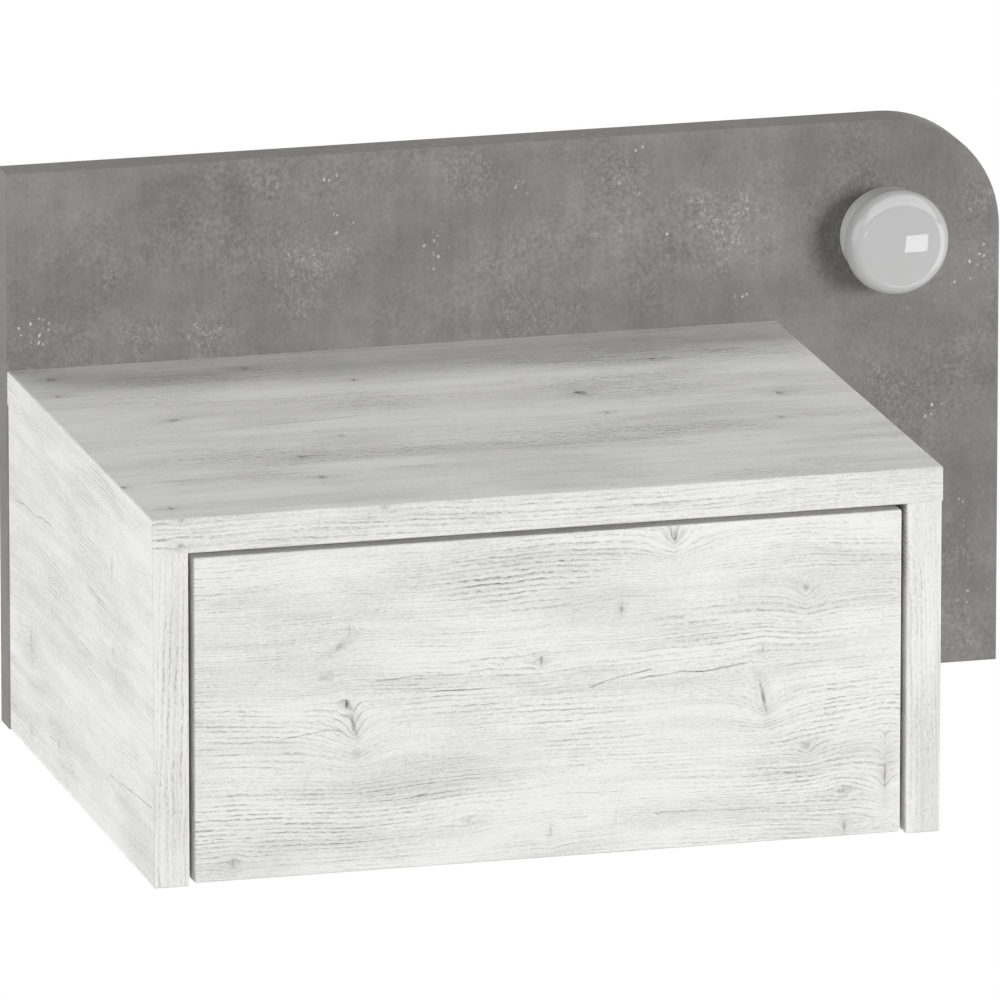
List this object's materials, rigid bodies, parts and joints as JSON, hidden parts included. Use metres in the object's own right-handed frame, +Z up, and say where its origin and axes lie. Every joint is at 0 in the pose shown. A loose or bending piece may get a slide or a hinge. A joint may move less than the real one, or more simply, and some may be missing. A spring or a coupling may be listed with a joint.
{
  "type": "wall-mounted nightstand with light",
  "caption": "Wall-hung nightstand in white wood decor: inset drawer on ball-bearing slides, tall concrete-look back panel with a round corner, and a push-on opal lamp on the panel.",
  "frame": {"origin": "midway between the two keyhole hangers, in the plane of the wall (the back panel's rear face)", "axes": "+X to the right along the wall, +Y into the wall, +Z up"},
  "size_m": [0.52, 0.3205, 0.289],
  "materials": {
    "oak_white": "whitewashed wood decor, matt, fine grain with knots",
    "concrete_decor": "concrete-look laminate on board, matt",
    "board_white": "plain light laminate, matt",
    "sheet_white": "thin hard fibreboard, lacquered on one face",
    "dowel_beech": "plain fluted beech",
    "slide_steel": "zinc plated sheet steel",
    "cage_steel": "thin stamped steel",
    "ball_steel": "polished balls",
    "screw_steel": "zinc plated",
    "cam_zinc": "die-cast zinc",
    "hanger_steel": "zinc plated plate",
    "lamp_opal": "opal, glossy",
    "lamp_body": "light grey, glossy",
    "led_board": "white solder mask on aluminium",
    "led_chip": "phosphor filled",
    "switch_black": "black",
    "terminal_white": "white",
    "grommet_rubber": "soft black"
  },
  "bodies": {
    "carcass": {"back_panel": "concrete_decor", "top_board": "oak_white", "left_side_board": "oak_white", "right_side_board": "oak_white", "bottom_board": "board_white", "panel_screws": "screw_steel", "top_dowels": "dowel_beech", "top_cam_bolts": "screw_steel", "top_cam_discs": "cam_zinc", "bottom_dowels": "dowel_beech", "bottom_cam_bolts": "screw_steel", "bottom_cam_discs": "cam_zinc", "left_hanger_plate": "hanger_steel", "right_hanger_plate": "hanger_steel", "hanger_screws": "screw_steel", "left_slide_outer": "slide_steel", "right_slide_outer": "slide_steel", "slide_outer_screws": "screw_steel", "lamp_base": "lamp_body", "lamp_retaining_ring": "lamp_body", "lamp_led_board": "led_board", "lamp_board_screws": "screw_steel", "lamp_leds": "led_chip", "lamp_switch_body": "switch_black", "lamp_terminal": "terminal_white", "lamp_screws": "screw_steel", "cable_grommet": "grommet_rubber"},
    "drawer": {"drawer_front": "oak_white", "drawer_left_side": "board_white", "drawer_right_side": "board_white", "drawer_back": "board_white", "drawer_bottom": "sheet_white", "drawer_dowels": "dowel_beech", "drawer_cam_bolts": "screw_steel", "drawer_cam_discs": "cam_zinc", "drawer_back_screws": "screw_steel", "drawer_bottom_screws": "screw_steel", "left_slide_inner": "slide_steel", "right_slide_inner": "slide_steel", "slide_inner_screws": "screw_steel"},
    "left_middle": {"left_slide_middle": "slide_steel"},
    "right_middle": {"right_slide_middle": "slide_steel"},
    "left_outer_cage": {"left_slide_outer_cage": "cage_steel", "left_slide_outer_balls": "ball_steel"},
    "right_outer_cage": {"right_slide_outer_cage": "cage_steel", "right_slide_outer_balls": "ball_steel"},
    "left_inner_cage": {"left_slide_inner_cage": "cage_steel", "left_slide_inner_balls": "ball_steel"},
    "right_inner_cage": {"right_slide_inner_cage": "cage_steel", "right_slide_inner_balls": "ball_steel"},
    "lamp_button": {"lamp_dome": "lamp_opal", "lamp_switch_plunger": "switch_black"}
  },
  "joints": [
    {"name": "drawer_slide", "type": "slide", "parent": "carcass", "child": "drawer", "axis": [0, -1, 0], "range_m": [0, 0.25]},
    {"name": "left_middle_slide", "type": "slide", "parent": "carcass", "child": "left_middle", "axis": [0, -1, 0], "range_m": [0, 0.125]},
    {"name": "left_outer_cage_roll", "type": "slide", "parent": "carcass", "child": "left_outer_cage", "axis": [0, -1, 0], "range_m": [0, 0.0625]},
    {"name": "left_inner_cage_roll", "type": "slide", "parent": "left_middle", "child": "left_inner_cage", "axis": [0, -1, 0], "range_m": [0, 0.0625]},
    {"name": "right_middle_slide", "type": "slide", "parent": "carcass", "child": "right_middle", "axis": [0, -1, 0], "range_m": [0, 0.125]},
    {"name": "right_outer_cage_roll", "type": "slide", "parent": "carcass", "child": "right_outer_cage", "axis": [0, -1, 0], "range_m": [0, 0.0625]},
    {"name": "right_inner_cage_roll", "type": "slide", "parent": "right_middle", "child": "right_inner_cage", "axis": [0, -1, 0], "range_m": [0, 0.0625]},
    {"name": "lamp_press", "type": "slide", "parent": "carcass", "child": "lamp_button", "axis": [0, 1, 0], "range_m": [0, 0.0012], "stiffness_N_per_m": 600}
  ],
  "couplings": [
    {"joint": "left_middle_slide", "follows": "drawer_slide", "ratio": 0.5},
    {"joint": "left_outer_cage_roll", "follows": "drawer_slide", "ratio": 0.25},
    {"joint": "left_inner_cage_roll", "follows": "drawer_slide", "ratio": 0.25},
    {"joint": "right_middle_slide", "follows": "drawer_slide", "ratio": 0.5},
    {"joint": "right_outer_cage_roll", "follows": "drawer_slide", "ratio": 0.25},
    {"joint": "right_inner_cage_roll", "follows": "drawer_slide", "ratio": 0.25}
  ]
}
